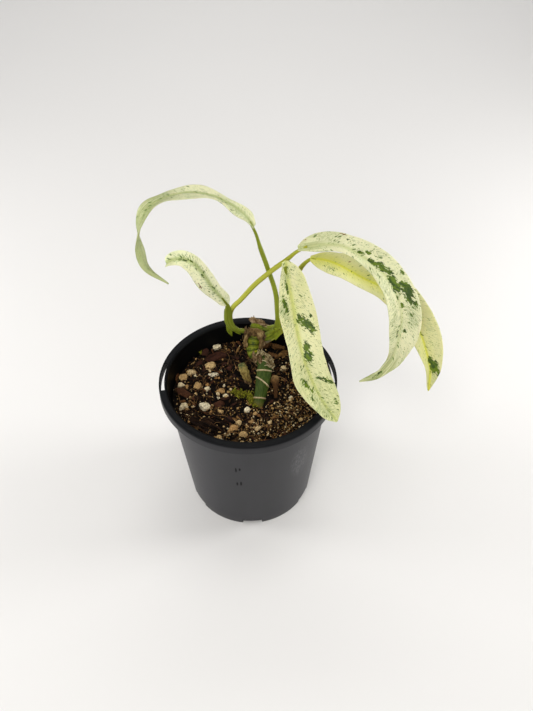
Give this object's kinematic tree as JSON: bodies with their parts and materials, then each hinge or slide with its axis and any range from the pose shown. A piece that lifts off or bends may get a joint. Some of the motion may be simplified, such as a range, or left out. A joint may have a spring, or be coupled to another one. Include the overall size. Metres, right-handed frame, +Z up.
{
  "type": "potted variegated epipremnum giganteum",
  "caption": "Potted climbing aroid: a short leaning vine with long arching cream and green variegated leaves, rooted in chunky soil in a round nursery pot.",
  "frame": {"origin": "centre of the pot's underside, on its flat central pad", "axes": "+Z up through the pot's axis; -Y towards the viewer, so that the vine leans back towards +Y and its leaves arch out to -X and +X"},
  "size_m": [0.2448, 0.15, 0.298],
  "materials": {
    "pot": "satin black polypropylene with a fine dusty sheen",
    "soil": "loose dark bark and perlite mix",
    "stem": "green ringed vine stem",
    "root": "rough dark brown root",
    "dried_tissue": "dry papery sheath",
    "leaf": "smooth waxy leaf, cream with green marbling"
  },
  "bodies": {
    "root": {"pot": "pot", "soil": "soil", "stem": "stem", "aerial_root": "root", "petiole_stub": "dried_tissue", "crown_sheath": "dried_tissue", "fibre_sheath": "dried_tissue", "leaf_1": "leaf", "leaf_2": "leaf", "leaf_3": "leaf", "leaf_4": "leaf", "leaf_5": "leaf"}
  },
  "joints": []
}
